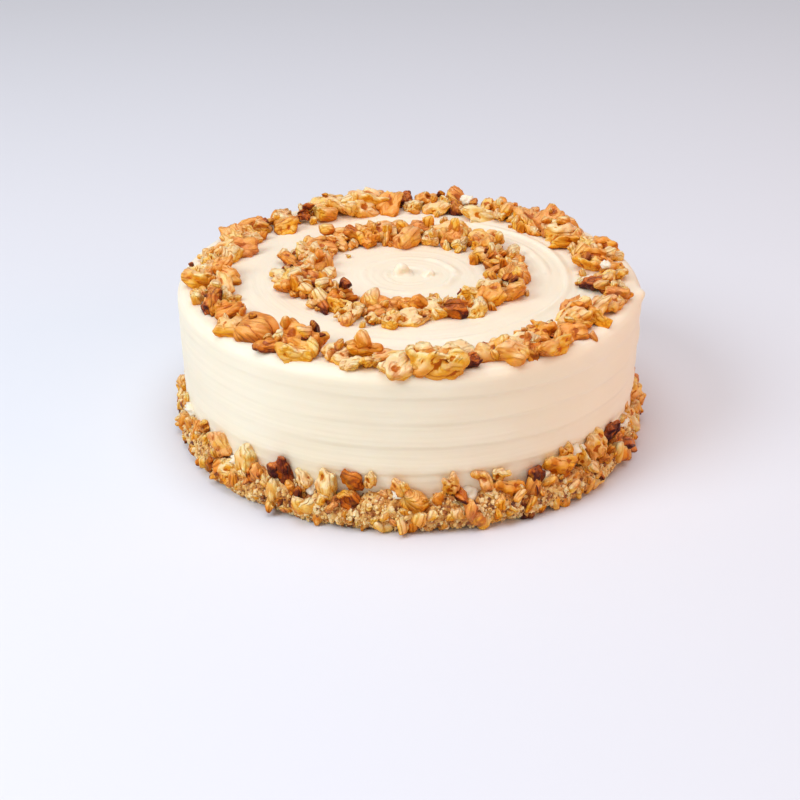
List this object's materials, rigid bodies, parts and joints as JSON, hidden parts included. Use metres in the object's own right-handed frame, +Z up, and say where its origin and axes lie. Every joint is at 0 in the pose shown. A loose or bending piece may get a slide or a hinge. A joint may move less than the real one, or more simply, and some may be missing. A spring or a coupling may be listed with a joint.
{
  "type": "nut cake",
  "caption": "Round iced cake with a heaped ring of broken nuts inside the top edge, a smaller ring round the middle and a band of nuts round the foot.",
  "frame": {"origin": "centre of the flat base of the cake, on the surface it stands on", "axes": "+Z up, +X to the right of the front view, front of the cake towards -Y"},
  "size_m": [0.2103, 0.214, 0.0797],
  "materials": {
    "icing": "soft satin, combed and smoothed by hand",
    "kernel": "dry broken nut kernel, satin skin and matt broken faces",
    "crust": "matt crust of nut crumbs and small pieces"
  },
  "bodies": {
    "root": {"iced_cake": "icing", "rim_nuts": "kernel", "inner_nuts": "kernel", "base_nuts": "crust"}
  },
  "joints": []
}
